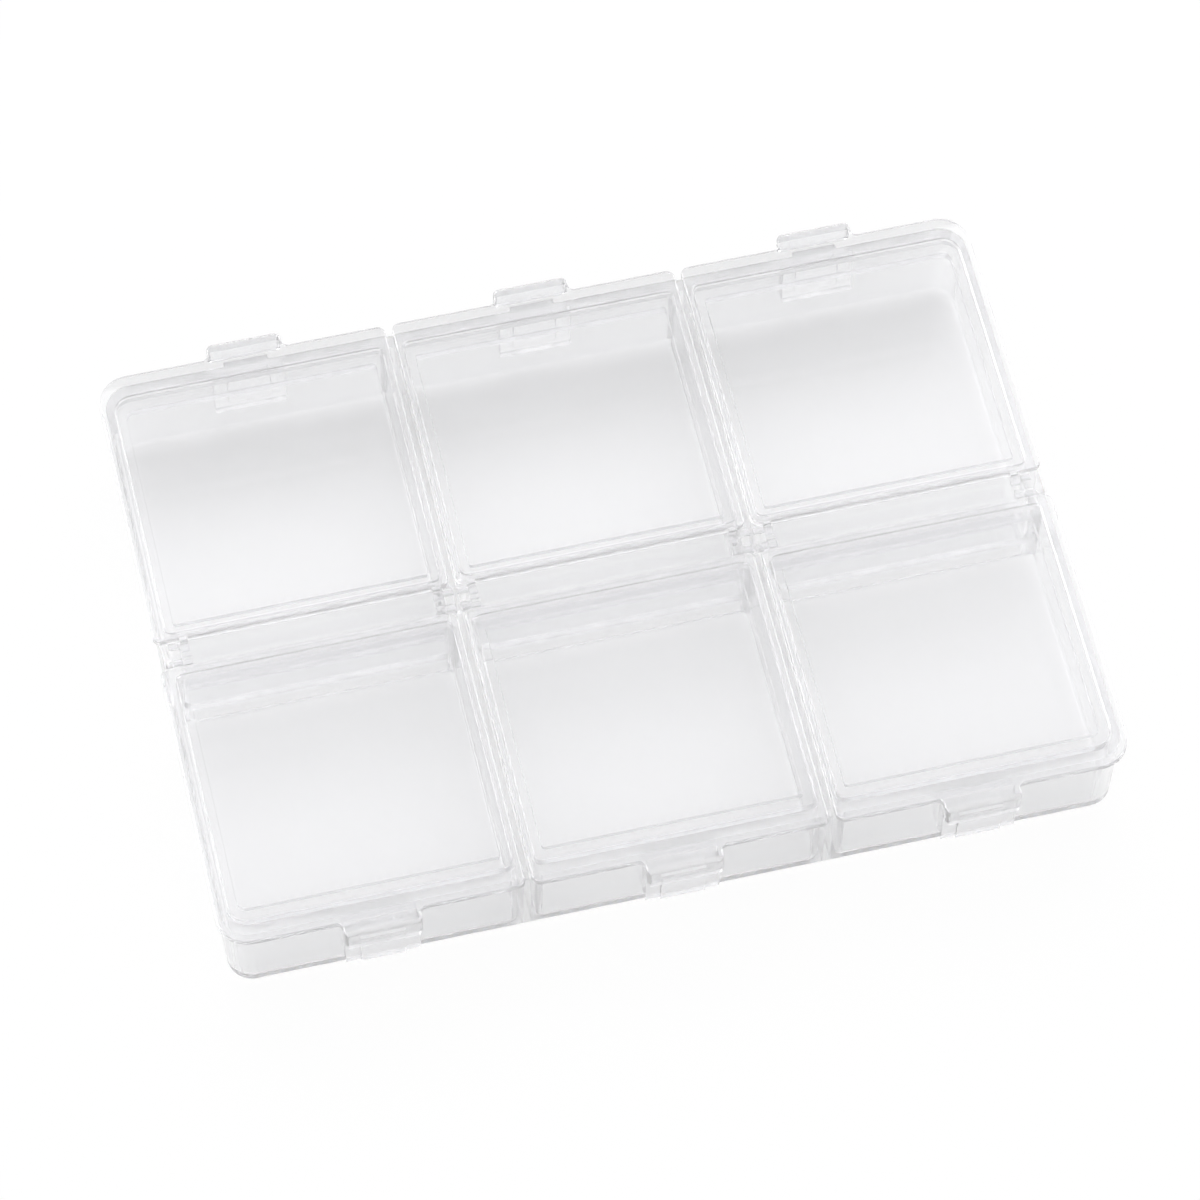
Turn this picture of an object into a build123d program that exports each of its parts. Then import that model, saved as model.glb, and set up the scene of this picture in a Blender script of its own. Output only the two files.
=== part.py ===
from build123d import *
from math import radians, tan
import os

# Bead organizer with six compartments in two rows of three, each with its own hinged lid.
# Everything is injection-moulded polypropylene: one tray and six lids.
# Millimetres. The origin is the middle of the underside, +X runs along the rows,
# +Y towards the back row, +Z up. The lids are drawn closed.

# ---- overall size ----
LENGTH = 132.0              # over the lids, along X
DEPTH = 95.0                # over the lids, along Y, without the latch tabs
HEIGHT = 16.5               # underside to the top of the closed lids
COLUMN_PITCH = LENGTH / 3
LID_GAP = 1.0               # between two lids of a row
SPINE_GAP = 4.5             # between the two rows of lids

# ---- lids ----
LID_THICKNESS = 1.1
LID_SEAT_GAP = 0.1          # air between the tray's rim and a closed lid
LID_EDGE_RADIUS = 0.35
BOX_CORNER_RADIUS = 4.5     # lid corners at the four corners of the box
LID_CORNER_RADIUS = 1.2     # every other lid corner
PANEL_DROP = 0.35           # the middle panel lies this much below the flange
PANEL_THICKNESS = 0.9
FLANGE_SIDE = 2.0           # flange width at the ends of the box
FLANGE_GAP = 1.1            # beside a neighbouring lid
FLANGE_HINGE = 1.4          # along the hinge
FLANGE_LATCH = 3.6          # along the latch
LIP_THICKNESS = 1.4         # sealing lip under the edge of the panel
LATCH_LIP_THICKNESS = 2.0   # the same lip beside the latch
LIP_DEPTH = 1.6             # how far the lip reaches below the flange
PANEL_BOX_RADIUS = 2.6
PANEL_CORNER_RADIUS = 1.0

# ---- latch tab on each lid ----
TAB_PITCH = 43.4            # between neighbouring tabs, along X
TAB_WIDTH = 11.2
TAB_REACH = 2.4             # beyond the lid's edge
TAB_DROP = 3.9              # top of the lid to the lower edge of the tab
TAB_WALL = 1.0
TAB_CORNER_RADIUS = 0.9

# ---- tray ----
SIDE_INSET = 0.7            # tray's outer face inside the lids' ends
LATCH_INSET = 1.4           # tray's outer face inside the lids' latch edges
SIDE_WALL = 1.05
LATCH_WALL = 1.5
DIVIDER = 2.4
DIVIDER_WALL = 0.8          # the dividers are hollow from below
DIVIDER_TOP = 1.2           # material left above that hollow
SPINE_WALL = 1.1            # hinge-side wall of each compartment
FLOOR = 1.0
OUTER_DRAFT = 1.5           # degrees
POCKET_DRAFT = 0.8          # degrees
TRAY_CORNER_RADIUS = 4.0
TRAY_BOTTOM_RADIUS = 1.2
POCKET_BOX_RADIUS = 3.0
POCKET_CORNER_RADIUS = 1.2
POCKET_FLOOR_RADIUS = 0.8
CHANNEL_FLOOR_TOP = HEIGHT - 11.0   # floor of the channel between the rows
CHANNEL_FLOOR = 1.8

# ---- hinges ----
AXIS_Y = 1.25               # each row's hinge axis, from the middle of the channel
AXIS_Z = HEIGHT - 1.05
PIN_RADIUS = 0.5
BORE_RADIUS = 0.56
BORE_DEPTH = 1.5
PIN_LENGTH = 1.5            # 0.2 of it crosses the gap between ear and lug
EAR_RADIUS = 0.85
EAR_THICKNESS = 1.2
EAR_GAP = 0.2               # ear to lug
LUG_RADIUS = 0.9            # rounded top edges of a lug, about the hinge axes
LUG_WIDTH = 3.6             # at a divider
END_LUG_WIDTH = 2.8         # at the ends of the box

# ---- catches on the tray ----
CATCH_FACE = 0.7            # catch plate's outer face beyond the lid's edge
CATCH_BOTTOM = HEIGHT - 11.8
CATCH_TOP = HEIGHT - 3.6
PAD_WIDTH = 6.6
PAD_FACE = 1.0              # pad's outer face beyond the lid's edge

# ---- worked out from the sizes above ----
HALF_LENGTH = LENGTH / 2
HALF_DEPTH = DEPTH / 2
HALF_SPINE = SPINE_GAP / 2
FLANGE_BOTTOM = HEIGHT - LID_THICKNESS
RIM_Z = FLANGE_BOTTOM - LID_SEAT_GAP
PANEL_TOP = HEIGHT - PANEL_DROP
TRAY_X = HALF_LENGTH - SIDE_INSET
TRAY_Y = HALF_DEPTH - LATCH_INSET
POCKET_X = TRAY_X - SIDE_WALL
POCKET_Y = TRAY_Y - LATCH_WALL
POCKET_SPINE = AXIS_Y + LUG_RADIUS + 0.15 + SPINE_WALL
CHANNEL_Y = POCKET_SPINE - SPINE_WALL
DIVIDER_X = COLUMN_PITCH / 2
LID_MIDDLE_X = DIVIDER_X - LID_GAP / 2
LID_OUTER_X = DIVIDER_X + LID_GAP / 2
OUTLINE_Y = HALF_DEPTH + TAB_REACH
LIP_BOTTOM = FLANGE_BOTTOM - LIP_DEPTH

ROWS = {"front": -1, "back": 1}
COLUMNS = {"left": -1, "middle": 0, "right": 1}


def block(x0, x1, y0, y1, z0, z1):
    """A box given by its two corners."""
    size = (x1 - x0, y1 - y0, z1 - z0)
    middle = ((x0 + x1) / 2, (y0 + y1) / 2, (z0 + z1) / 2)
    return Pos(*middle) * Box(*size)


def plan(x0, x1, y0, y1, radius, box_radius):
    """A rectangle in plan with rounded corners; the corner at (x1, y1) has its own radius."""
    sheet = Pos((x0 + x1) / 2, (y0 + y1) / 2) * Rectangle(x1 - x0, y1 - y0)
    corners = sheet.vertices()
    own = corners.sort_by_distance((x1, y1, 0))[0]
    others = corners.sort_by_distance((x1, y1, 0))[1:]
    sheet = fillet(others, radius)
    own = sheet.vertices().sort_by_distance((x1, y1, 0))
    corner = [v for v in own if abs(v.X - x1) < 0.001 and abs(v.Y - y1) < 0.001]
    return fillet(corner, box_radius)


def along_x(profile, x0, x1):
    """A profile drawn in the YZ plane, carried from x0 to x1."""
    solid = extrude(Plane.YZ * profile, x1 - x0)
    return Pos(x0, 0, 0) * solid


def pin(x0, x1, radius):
    """A round bar on the back row's hinge axis."""
    bar = Cylinder(radius, x1 - x0, rotation=(0, 90, 0))
    return Pos((x0 + x1) / 2, AXIS_Y, AXIS_Z) * bar


# ---------------------------------------------------------------- lids
def lid_plate(x0, x1, box_radius, tab_x):
    """Flange with the tab's top, one moulded sheet with its top edge rounded over."""
    sheet = plan(x0, x1, HALF_SPINE, HALF_DEPTH, LID_CORNER_RADIUS, box_radius)
    tab = Pos(tab_x, OUTLINE_Y - 4) * Rectangle(TAB_WIDTH, 8)
    sheet = sheet + tab
    roots = [v for v in sheet.vertices()
             if abs(abs(v.X - tab_x) - TAB_WIDTH / 2) < 0.001]
    sheet = fillet(roots, TAB_CORNER_RADIUS)
    plate = Pos(0, 0, FLANGE_BOTTOM) * extrude(sheet, LID_THICKNESS)
    return fillet(plate.edges().group_by(Axis.Z)[-1], LID_EDGE_RADIUS)


def tab_skirt(tab_x):
    """The part of the latch tab that hangs down in front of the catch."""
    drop = TAB_DROP - LID_THICKNESS / 2
    face = Rectangle(TAB_WIDTH, drop)
    face = fillet(face.vertices().group_by(Axis.Y)[0], TAB_CORNER_RADIUS)
    skirt = Plane.XZ * face
    skirt = Pos(tab_x, OUTLINE_Y, HEIGHT - TAB_DROP + drop / 2) * extrude(skirt, TAB_WALL)
    outline = Pos(tab_x, OUTLINE_Y - 4) * RectangleRounded(TAB_WIDTH, 8, TAB_CORNER_RADIUS)
    return skirt & extrude(outline, HEIGHT)


def ear(x0, x1):
    """A hinge ear: a disc on the axis with a neck to the flange."""
    neck = block(x0, x1, AXIS_Y, HALF_SPINE + 0.6, AXIS_Z, HEIGHT - 0.2)
    return pin(x0, x1, EAR_RADIUS) + neck


def lid(x0, x1, box_radius, panel_radius, flange_x0, flange_x1, ears, tab_x):
    """One lid of the back row, between x0 and x1.

    ears lists (face, direction) for both ears: the x of the face that looks at the lug,
    and the way its pin points.
    """
    step = (x0 + flange_x0, x1 - flange_x1, HALF_SPINE + FLANGE_HINGE, HALF_DEPTH - FLANGE_LATCH)
    inner = (step[0] + LIP_THICKNESS, step[1] - LIP_THICKNESS,
             step[2] + LIP_THICKNESS, step[3] - LATCH_LIP_THICKNESS)
    body = lid_plate(x0, x1, box_radius, tab_x) + tab_skirt(tab_x)
    outer_step = plan(*step, PANEL_CORNER_RADIUS, panel_radius)
    inner_step = plan(*inner, PANEL_CORNER_RADIUS / 2, panel_radius / 2)
    lip = extrude(outer_step, PANEL_TOP - LIP_BOTTOM)
    body = body + Pos(0, 0, LIP_BOTTOM) * lip
    body = body - Pos(0, 0, PANEL_TOP) * extrude(outer_step, 1)
    hollow = extrude(inner_step, PANEL_TOP - PANEL_THICKNESS - LIP_BOTTOM)
    body = body - Pos(0, 0, LIP_BOTTOM) * hollow
    for face, way in ears:
        body = body + ear(*sorted((face, face - way * EAR_THICKNESS)))
        body = body + pin(*sorted((face, face + way * PIN_LENGTH)), PIN_RADIUS)
    return body


DIVIDER_LUG_X = LUG_WIDTH / 2 + EAR_GAP
END_LUG_X = TRAY_X - END_LUG_WIDTH

OUTER_LID = lid(
    LID_OUTER_X, HALF_LENGTH, BOX_CORNER_RADIUS, PANEL_BOX_RADIUS, FLANGE_GAP, FLANGE_SIDE,
    [(DIVIDER_X + DIVIDER_LUG_X, -1), (END_LUG_X - EAR_GAP, 1)], TAB_PITCH)
MIDDLE_LID = lid(
    -LID_MIDDLE_X, LID_MIDDLE_X, LID_CORNER_RADIUS, PANEL_CORNER_RADIUS, FLANGE_GAP, FLANGE_GAP,
    [(DIVIDER_X - DIVIDER_LUG_X, 1), (-DIVIDER_X + DIVIDER_LUG_X, -1)], 0)


def placed_lid(row, column):
    """The lid of one compartment, mirrored from the back row's right-hand or middle one."""
    body = OUTER_LID if column else MIDDLE_LID
    if column < 0:
        body = mirror(body, Plane.YZ)
    if row < 0:
        body = mirror(body, Plane.XZ)
    return body


# ---------------------------------------------------------------- tray
def tapered(sheet, z0, z1, draft):
    """A prism that widens upwards by the draft angle."""
    return Pos(0, 0, z0) * extrude(sheet, z1 - z0, taper=-draft)


def shrink(height, draft):
    """How much narrower a drafted wall is at the bottom of the given height."""
    return height * tan(radians(draft))


def outer_block():
    """The tray before it is hollowed: drafted walls and a rounded lower edge."""
    narrow = shrink(RIM_Z, OUTER_DRAFT)
    sheet = RectangleRounded(2 * (TRAY_X - narrow), 2 * (TRAY_Y - narrow),
                             TRAY_CORNER_RADIUS - narrow)
    solid = tapered(sheet, 0, RIM_Z, OUTER_DRAFT)
    return fillet(solid.faces().sort_by(Axis.Z)[0].edges(), TRAY_BOTTOM_RADIUS)


def pocket(x0, x1, box_radius):
    """The space of one compartment of the back row."""
    narrow = shrink(RIM_Z - FLOOR, POCKET_DRAFT)
    sheet = plan(x0 + narrow, x1 - narrow, POCKET_SPINE + narrow, POCKET_Y - narrow,
                 POCKET_CORNER_RADIUS, box_radius)
    space = tapered(sheet, FLOOR, RIM_Z + 1, POCKET_DRAFT)
    return fillet(space.faces().sort_by(Axis.Z)[0].edges(), POCKET_FLOOR_RADIUS)


def divider_hollow(x):
    """The slot inside one divider, open below and narrowing upwards with the pockets' draft."""
    half_top = DIVIDER / 2 - DIVIDER_WALL
    half_bottom = half_top + shrink(RIM_Z, POCKET_DRAFT)
    top = RIM_Z - DIVIDER_TOP
    slot = Polygon((-half_bottom, -1), (half_bottom, -1), (half_top, top), (-half_top, top),
                   align=None)
    return Pos(x, POCKET_Y, 0) * extrude(Plane.XZ * slot, 2 * POCKET_Y)


def catch(tab_x):
    """A back-row catch: a plate standing out from the wall, with a narrower pad on it."""
    face = HALF_DEPTH + CATCH_FACE
    pad_face = HALF_DEPTH + PAD_FACE
    plate = Polygon((POCKET_Y + 0.5, CATCH_BOTTOM), (face, CATCH_BOTTOM), (face, CATCH_TOP - 1.2),
                    (face - 1.2, CATCH_TOP), (POCKET_Y + 0.5, CATCH_TOP), align=None)
    plate = along_x(plate, tab_x - TAB_WIDTH / 2 + 0.2, tab_x + TAB_WIDTH / 2 - 0.2)
    lower = plate.edges().filter_by(Axis.X).sort_by_distance((tab_x, face, CATCH_BOTTOM))[0]
    plate = fillet(lower, 0.8)
    pad = block(tab_x - PAD_WIDTH / 2, tab_x + PAD_WIDTH / 2, face - 1.5, pad_face,
                CATCH_BOTTOM + 0.4, CATCH_TOP)
    pad = fillet(pad.faces().sort_by(Axis.Y)[-1].edges(), 0.3)
    return plate + pad


def lug(x0, x1):
    """A lug across the channel; its rounded top edges are centred on the hinge axes."""
    half = AXIS_Y + LUG_RADIUS
    top = AXIS_Z + LUG_RADIUS
    profile = Pos(0, (CHANNEL_FLOOR_TOP + top) / 2) * Rectangle(2 * half, top - CHANNEL_FLOOR_TOP)
    profile = fillet(profile.vertices().group_by(Axis.Y)[-1], LUG_RADIUS)
    return along_x(profile, x0, x1)


def channel_spans():
    """X ranges of the channel between the lugs."""
    divider_lug = LUG_WIDTH / 2
    return [(-END_LUG_X, -DIVIDER_X - divider_lug),
            (-DIVIDER_X + divider_lug, DIVIDER_X - divider_lug),
            (DIVIDER_X + divider_lug, END_LUG_X)]


def tray():
    """Six compartments, the hinge channel with its lugs and bores, and six catches."""
    body = outer_block()
    half_divider = DIVIDER / 2
    right = pocket(DIVIDER_X + half_divider, POCKET_X, POCKET_BOX_RADIUS)
    middle = pocket(-DIVIDER_X + half_divider, DIVIDER_X - half_divider, POCKET_CORNER_RADIUS)
    spaces = [right, mirror(right, Plane.YZ), middle]
    for space in spaces:
        body = body - space - mirror(space, Plane.XZ)
    for tab_x in (-TAB_PITCH, 0, TAB_PITCH):
        back = catch(tab_x)
        body = body + back + mirror(back, Plane.XZ)
    for x0, x1 in channel_spans():
        body = body - block(x0, x1, -CHANNEL_Y, CHANNEL_Y, CHANNEL_FLOOR_TOP, HEIGHT)
        body = body - block(x0, x1, -CHANNEL_Y, CHANNEL_Y, -1, CHANNEL_FLOOR_TOP - CHANNEL_FLOOR)
    lugs = [(-TRAY_X, -END_LUG_X), (END_LUG_X, TRAY_X)]
    lugs += [(x - LUG_WIDTH / 2, x + LUG_WIDTH / 2) for x in (-DIVIDER_X, DIVIDER_X)]
    for x0, x1 in lugs:
        body = body + lug(x0, x1)
    for x in (-DIVIDER_X, DIVIDER_X):
        body = body - divider_hollow(x)
    faces = [(x + way * LUG_WIDTH / 2, way) for x in (-DIVIDER_X, DIVIDER_X) for way in (-1, 1)]
    faces += [(-END_LUG_X, 1), (END_LUG_X, -1)]
    for face, way in faces:
        bore = pin(*sorted((face + way, face - way * BORE_DEPTH)), BORE_RADIUS)
        body = body - bore - mirror(bore, Plane.XZ)
    return body


os.makedirs("parts", exist_ok=True)
export_step(tray(), "parts/tray.step")
for row_name, row in ROWS.items():
    for column_name, column in COLUMNS.items():
        export_step(placed_lid(row, column), f"parts/lid_{row_name}_{column_name}.step")
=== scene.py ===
import bmesh
import bpy
import numpy as np
from mathutils import Matrix, Vector


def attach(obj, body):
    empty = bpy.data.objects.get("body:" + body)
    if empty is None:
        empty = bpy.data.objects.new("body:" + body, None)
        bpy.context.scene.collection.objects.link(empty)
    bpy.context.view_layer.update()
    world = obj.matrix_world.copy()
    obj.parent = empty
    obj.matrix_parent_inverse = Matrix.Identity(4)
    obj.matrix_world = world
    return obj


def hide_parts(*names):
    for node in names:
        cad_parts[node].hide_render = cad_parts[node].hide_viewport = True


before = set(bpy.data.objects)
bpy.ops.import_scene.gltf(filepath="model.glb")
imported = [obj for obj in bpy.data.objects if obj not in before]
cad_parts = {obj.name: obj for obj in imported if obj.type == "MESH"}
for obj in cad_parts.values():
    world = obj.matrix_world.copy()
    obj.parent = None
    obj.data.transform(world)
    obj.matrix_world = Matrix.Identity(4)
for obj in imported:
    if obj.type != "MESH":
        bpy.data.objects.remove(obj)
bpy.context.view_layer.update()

MM = 0.001
WHITE = (1, 1, 1, 1)


# ---------------------------------------------------------------- small helpers
def linear(hex_colour):
    """An sRGB hex colour as linear RGBA."""
    s = np.array([int(hex_colour[i:i + 2], 16) / 255 for i in (1, 3, 5)])
    rgb = np.where(s <= 0.04045, s / 12.92, ((s + 0.055) / 1.055) ** 2.4)
    return (*rgb.tolist(), 1.0)


def add(tree, kind, links=None, **settings):
    """Adds a node. settings are its fields or inputs; links give an input a socket or a value."""
    node = tree.nodes.new(kind)
    for name, value in settings.items():
        if hasattr(node, name):
            setattr(node, name, value)
        else:
            node.inputs[name.replace("_", " ")].default_value = value
    for name, source in (links or {}).items():
        if isinstance(source, bpy.types.NodeSocket):
            tree.links.new(source, node.inputs[name])
        else:
            node.inputs[name].default_value = source
    return node


def distance(tree, value, middle=0.0):
    """How far a value lies from middle, to either side."""
    past = add(tree, "ShaderNodeMath", {0: value, 1: middle}, operation="SUBTRACT")
    return add(tree, "ShaderNodeMath", {0: past.outputs[0]}, operation="ABSOLUTE").outputs[0]


def larger(tree, first, second):
    """The larger of two values, or either one when both are yes or no."""
    return add(tree, "ShaderNodeMath", {0: first, 1: second}, operation="MAXIMUM").outputs[0]


def blank(name):
    """A new material with an empty node tree."""
    material = bpy.data.materials.new(name)
    material.use_nodes = True
    material.node_tree.nodes.clear()
    return material


# ---------------------------------------------------------------- materials
IOR = 1.49
GLOSS_PATCH = 6 * MM        # size of the patches in which the gloss drifts
RIPPLE = 2.5 * MM           # size of the ripples on a moulded face
RIPPLE_HEIGHT = 0.003 * MM
INNER_HAZE = 0.10           # added where light meets a face from inside the plastic
RIM_MIDDLE = 46.6 * MM      # middle of the back lids' rim, past the tray's outer face
RIM_HALF = 0.7 * MM         # the rim's painted shade is full to here from its middle and gone at RIM_GONE
RIM_GONE = 1.0 * MM
# painted shade: the share of the base colour left over the back rim, standing in for light the rim
# turns away
RIM_PAINTED_SHADE = 0.88
# the share of its light that a face lets through to the matt faces beyond
LEVEL_PASSES, END_WALL_PASSES = 0.99, 0.93
HINGE_WALL_PASSES, LATCH_WALL_PASSES = 0.92, 0.58
BACK_HINGE_WALL = 3 * MM    # from here to either side the walls pass less and less light
HINGE_REACH, LATCH_REACH = 3 * MM, 12 * MM


def clear_polypropylene(name, tint, roughness, haze_flat, haze_wall):
    """Clear injection-moulded polypropylene, milkier through its walls than through its flat faces.

    haze_flat and haze_wall are the shares of light that a level face and an upright one scatter,
    half of it back and half onwards, so a wall lit from behind glows. A slow ripple bends the
    reflections as a moulded face does, and the gloss drifts a little where the melt cooled at
    different speeds. The rim that stands out over the back wall is painted a little greyer, as
    painted shade for the light it turns away downwards. Light on its way to a matt face goes
    straight through: level faces and the walls at a compartment's ends hold back little of it,
    hinge walls more and latch walls most.
    """
    material = blank(name)
    tree = material.node_tree
    where = add(tree, "ShaderNodeTexCoord")
    place = add(tree, "ShaderNodeSeparateXYZ", {0: where.outputs["Object"]})
    facing = add(tree, "ShaderNodeSeparateXYZ", {0: where.outputs["Normal"]})
    level = distance(tree, facing.outputs["Z"])
    haze = add(tree, "ShaderNodeMapRange", {"Value": level}, To_Min=haze_wall, To_Max=haze_flat)
    side = add(tree, "ShaderNodeNewGeometry")
    haze = add(tree, "ShaderNodeMath", {0: side.outputs["Backfacing"], 1: INNER_HAZE,
                                        2: haze.outputs[0]}, operation="MULTIPLY_ADD")
    # half a noise cell is one patch or ripple
    cooling = add(tree, "ShaderNodeTexNoise", {"Vector": where.outputs["Object"]},
                  Scale=0.5 / GLOSS_PATCH, Detail=2.0)
    gloss = add(tree, "ShaderNodeMapRange", {"Value": cooling.outputs[0]},
                From_Min=0.3, From_Max=0.7, To_Min=roughness * 0.8, To_Max=roughness * 1.3)
    ripple = add(tree, "ShaderNodeTexNoise", {"Vector": where.outputs["Object"]},
                 Scale=0.5 / RIPPLE, Detail=1.0)
    relief = add(tree, "ShaderNodeBump", {"Height": ripple.outputs[0]}, Strength=1.0,
                 Distance=RIPPLE_HEIGHT)
    # painted shade: the base colour is darkened over the back lids' rim, standing in for the light
    # that the rim turns away downwards
    rim = add(tree, "ShaderNodeMapRange",
              {"Value": distance(tree, place.outputs["Y"], RIM_MIDDLE)},
              From_Min=RIM_HALF, From_Max=RIM_GONE, To_Min=RIM_PAINTED_SHADE)
    body = add(tree, "ShaderNodeVectorMath", {0: linear(tint)[:3], "Scale": rim.outputs[0]},
               operation="SCALE")
    clear = add(tree, "ShaderNodeBsdfPrincipled",
                {"Base Color": body.outputs[0], "Roughness": gloss.outputs[0],
                 "Normal": relief.outputs[0]}, IOR=IOR, Transmission_Weight=1.0)
    back = add(tree, "ShaderNodeBsdfDiffuse", Color=linear(tint))
    onwards = add(tree, "ShaderNodeBsdfTranslucent", Color=linear(tint))
    milk = add(tree, "ShaderNodeMixShader", {0: 0.5, 1: back.outputs[0], 2: onwards.outputs[0]})
    plastic = add(tree, "ShaderNodeMixShader",
                  {0: haze.outputs[0], 1: clear.outputs[0], 2: milk.outputs[0]})
    wall = add(tree, "ShaderNodeMapRange",
               {"Value": distance(tree, place.outputs["Y"], BACK_HINGE_WALL)},
               From_Min=HINGE_REACH, From_Max=LATCH_REACH,
               To_Min=HINGE_WALL_PASSES, To_Max=LATCH_WALL_PASSES)
    upright = add(tree, "ShaderNodeMapRange",
                  {"Value": distance(tree, facing.outputs["Y"]), "To Max": wall.outputs[0]},
                  To_Min=END_WALL_PASSES)
    passes = add(tree, "ShaderNodeMapRange", {"Value": level, "To Min": upright.outputs[0]},
                 To_Max=LEVEL_PASSES)
    passed = add(tree, "ShaderNodeBsdfTransparent", {"Color": passes.outputs[0]})
    path = add(tree, "ShaderNodeLightPath")
    lighting = larger(tree, path.outputs["Is Shadow Ray"], path.outputs["Is Diffuse Ray"])
    mix = add(tree, "ShaderNodeMixShader",
              {0: lighting, 1: plastic.outputs[0], 2: passed.outputs[0]})
    add(tree, "ShaderNodeOutputMaterial", {"Surface": mix.outputs[0]})
    return material


TRAY_PP = clear_polypropylene("clear_moulded_polypropylene_tray", "#FBFBFC", 0.07, 0.03, 0.10)
LID_PP = clear_polypropylene("clear_moulded_polypropylene_lid", "#FBFBFC", 0.06, 0.03, 0.10)


# ---------------------------------------------------------------- pieces
SHARP = np.radians(35)      # faces that meet at more than this meet at an edge
LEVEL_TURN = np.radians(1)  # and at less than this they are one flat face
WIDEST_FACET = 1.2 * MM
FRAME_Z = 16 * MM           # the lids' frames and window steps lie above this
HINGE_Y = 3 * MM            # their hinge ends, left as they are, lie within this
EDGE_RADIUS = 0.15 * MM


def is_curved(face):
    """True for a facet of a rounded face: a narrow strip that turns a little into the next one."""
    narrow = face.calc_area() < WIDEST_FACET * max(edge.calc_length() for edge in face.edges)
    turns = any(LEVEL_TURN < edge.calc_face_angle() < SHARP for edge in face.edges)
    return len(face.verts) < 5 and narrow and turns


def moulding(node, name, material):
    """A copy of a moulded node, with merged corners and joined flat faces.

    Only its rounded faces are shaded smooth. The step around a lid's window gets an edge radius.
    """
    piece = bpy.data.objects.new(name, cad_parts[node].data.copy())
    bpy.context.scene.collection.objects.link(piece)
    form = bmesh.new()
    form.from_mesh(piece.data)
    bmesh.ops.remove_doubles(form, verts=form.verts, dist=0.002 * MM)
    bmesh.ops.dissolve_limit(form, angle_limit=np.radians(0.5), verts=form.verts, edges=form.edges)
    weight = form.edges.layers.float.new("bevel_weight_edge")
    for edge in form.edges:
        on_top = all(v.co.z > FRAME_Z and abs(v.co.y) > HINGE_Y for v in edge.verts)
        edge[weight] = float(on_top and edge.calc_face_angle() > SHARP)
    curved = [is_curved(face) for face in form.faces]
    form.to_mesh(piece.data)
    form.free()
    piece.data.materials.clear()
    piece.data.materials.append(material)
    piece.data.set_sharp_from_angle(angle=SHARP)
    piece.data.polygons.foreach_set("use_smooth", curved)
    rounding = piece.modifiers.new("edge_radius", "BEVEL")
    rounding.width, rounding.segments, rounding.limit_method = EDGE_RADIUS, 3, "WEIGHT"
    rounding.use_clamp_overlap = False
    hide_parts(node)
    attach(piece, node)


moulding("tray", "moulded_tray", TRAY_PP)
for row in ("front", "back"):
    for column in ("left", "middle", "right"):
        moulding(f"lid_{row}_{column}", f"moulded_lid_{row}_{column}", LID_PP)


# ---------------------------------------------------------------- floor, light, camera
TABLE_HALF = 3.0            # metres
TABLE_SUNK = 0.02 * MM      # keeps the table top off the tray's underside
WHITE_TO_THE_EYE = 0.95     # share of plain white in the table where it is seen directly
WHITE_IN_PLASTIC = 0.15     # and where it is seen through the plastic or mirrored in it
BRIGHTEST_WAY = (0.1, 0.5, 0.86)    # above and behind the box
ROOM_DIM, ROOM_BRIGHT = 0.50, 1.26  # light from the room, away from that way and along it
ROOM_SEEN, PANEL_SEEN = 1.1, 5.0    # brightness of the room and of its panels in the plastic
PANEL_Y = 0.46              # the panels' middle, on a globe of radius 1 around the box


def white_floor():
    """A plain white table that keeps a soft shadow and looks white, also through the plastic."""
    mesh = bpy.data.meshes.new("table_top")
    corners = [(-1, -1, 0), (1, -1, 0), (1, 1, 0), (-1, 1, 0)]
    mesh.from_pydata(np.multiply(corners, TABLE_HALF).tolist(), [], [(0, 1, 2, 3)])
    floor = bpy.data.objects.new("table_top", mesh)
    floor.location.z = -TABLE_SUNK
    bpy.context.scene.collection.objects.link(floor)
    # painted board, matt: an even white without any gloss
    material = blank("matt_white_table")
    tree = material.node_tree
    matt = add(tree, "ShaderNodeBsdfDiffuse", Color=linear("#E2E2E2"))
    glow = add(tree, "ShaderNodeEmission", Color=WHITE, Strength=1.0)
    path = add(tree, "ShaderNodeLightPath")
    seen = larger(tree, path.outputs["Is Glossy Ray"], path.outputs["Is Transmission Ray"])
    in_plastic = add(tree, "ShaderNodeMath", {0: seen, 1: WHITE_IN_PLASTIC}, operation="MULTIPLY")
    to_the_eye = add(tree, "ShaderNodeMath", {0: path.outputs["Is Camera Ray"],
                                              1: WHITE_TO_THE_EYE}, operation="MULTIPLY")
    share = larger(tree, in_plastic.outputs[0], to_the_eye.outputs[0])
    mix = add(tree, "ShaderNodeMixShader", {0: share, 1: matt.outputs[0], 2: glow.outputs[0]})
    add(tree, "ShaderNodeOutputMaterial", {"Surface": mix.outputs[0]})
    mesh.materials.append(material)


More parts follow.
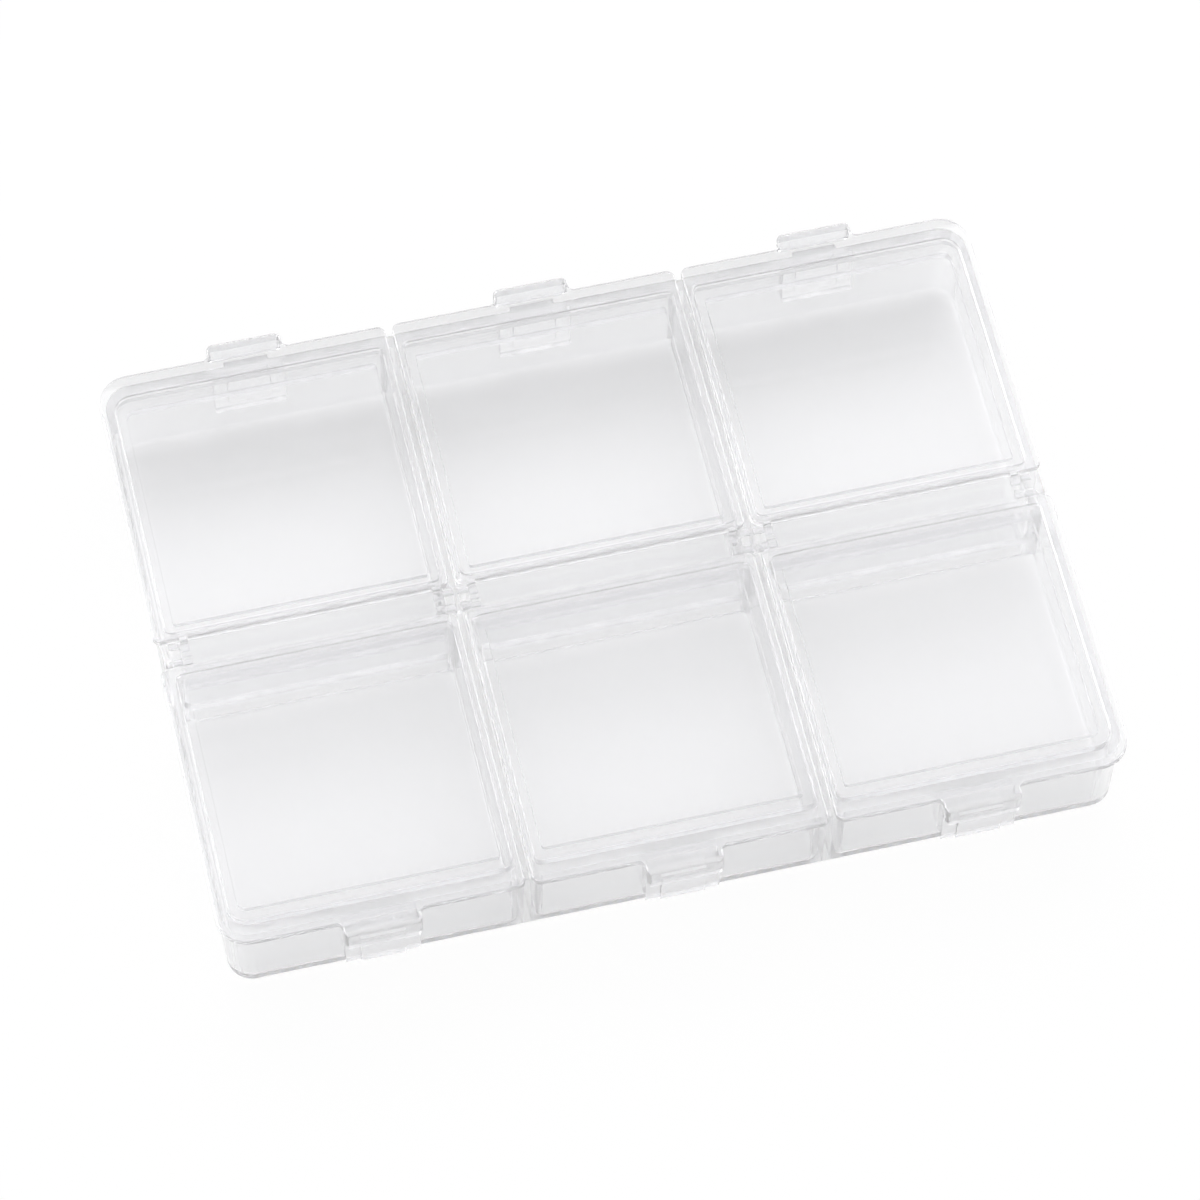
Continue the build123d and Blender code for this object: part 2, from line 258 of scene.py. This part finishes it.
def studio_world():
    """A white studio, brightest above and behind the box.

    Four bright panels stand off its corners and draw lines on the box's edges. None of them faces a
    side of the box squarely or at 45 degrees. They are seen in the plastic and light nothing else.
    """
    world = bpy.data.worlds.new("studio")
    bpy.context.scene.world = world
    world.use_nodes = True
    tree = world.node_tree
    tree.nodes.clear()
    where = add(tree, "ShaderNodeTexCoord")
    height = add(tree, "ShaderNodeVectorMath", {0: where.outputs["Generated"], 1: BRIGHTEST_WAY},
                 operation="DOT_PRODUCT")
    ramp = add(tree, "ShaderNodeMapRange", {"Value": height.outputs["Value"]},
               From_Min=-0.4, From_Max=0.9, To_Min=ROOM_DIM, To_Max=ROOM_BRIGHT)
    light = add(tree, "ShaderNodeBackground", {"Strength": ramp.outputs[0]}, Color=WHITE)
    toward = add(tree, "ShaderNodeSeparateXYZ", {0: where.outputs["Generated"]})
    across = distance(tree, toward.outputs["X"])
    along = distance(tree, toward.outputs["Y"])
    panel = add(tree, "ShaderNodeMapRange", {"Value": distance(tree, along, PANEL_Y)},
                interpolation_type="SMOOTHSTEP",
                From_Min=0.10, From_Max=0.20, To_Min=PANEL_SEEN, To_Max=ROOM_SEEN)
    walls = add(tree, "ShaderNodeMapRange", {"Value": across, "To Max": panel.outputs[0]},
                interpolation_type="SMOOTHSTEP", From_Min=0.45, From_Max=0.65, To_Min=ROOM_SEEN)
    white = add(tree, "ShaderNodeBackground", {"Strength": walls.outputs[0]}, Color=WHITE)
    path = add(tree, "ShaderNodeLightPath")
    seen = larger(tree, path.outputs["Is Camera Ray"], path.outputs["Is Glossy Ray"])
    seen = larger(tree, seen, path.outputs["Is Transmission Ray"])
    mix = add(tree, "ShaderNodeMixShader", {0: seen, 1: light.outputs[0], 2: white.outputs[0]})
    add(tree, "ShaderNodeOutputWorld", {"Surface": mix.outputs[0]})


def softbox(name, place, width, height, level):
    """An area lamp aimed at the box. level is the brightness it gives a white card on the table.

    Its power makes up for its distance and for the slant at which its light meets the table.
    """
    lamp = bpy.data.lights.new(name, "AREA")
    lamp.shape, lamp.size, lamp.size_y = "RECTANGLE", width, height
    place = Vector(place)
    lamp.energy = level * np.pi ** 2 * place.length ** 3 / place.z
    rig = bpy.data.objects.new(name, lamp)
    rig.location = place
    rig.rotation_mode = "QUATERNION"
    rig.rotation_quaternion = (-place).to_track_quat("-Z", "Y")
    rig.visible_glossy = rig.visible_transmission = False
    bpy.context.scene.collection.objects.link(rig)


def camera():
    """A long lens from the front left, well above the box."""
    azimuth, elevation, roll = np.radians((-13.956, 60.418, 0.846))
    away, aim_right, aim_down = np.multiply((854.55, 0.664, 3.313), MM)
    focal_px, picture_px, sensor_mm = 5816.8, 1200, 36
    back = np.array([np.sin(azimuth) * np.cos(elevation), -np.cos(azimuth) * np.cos(elevation),
                     np.sin(elevation)])
    right = np.cross(-back, (0, 0, 1))
    right /= np.linalg.norm(right)
    up = np.cross(right, -back)
    right, up = (np.cos(roll) * right + np.sin(roll) * up,
                 np.cos(roll) * up - np.sin(roll) * right)
    place = back * away - right * aim_right + up * aim_down
    data = bpy.data.cameras.new("camera")
    data.sensor_width = sensor_mm
    data.lens = focal_px / picture_px * sensor_mm
    rig = bpy.data.objects.new("camera", data)
    turn = Matrix((right, up, back)).transposed().to_4x4()
    rig.matrix_world = Matrix.Translation(Vector(place)) @ turn
    bpy.context.scene.collection.objects.link(rig)
    bpy.context.scene.camera = rig


white_floor()
studio_world()
softbox("key_softbox_behind", place=(0.16, 0.95, 0.90), width=1.2, height=0.6, level=0.38)
camera()
bpy.context.scene.view_settings.view_transform = "Standard"
# light meets many faces inside a clear wall before it comes out
light_paths = bpy.context.scene.cycles
light_paths.max_bounces = light_paths.glossy_bounces = light_paths.transmission_bounces = 32
light_paths.transparent_max_bounces = 64

bpy.context.view_layer.update()
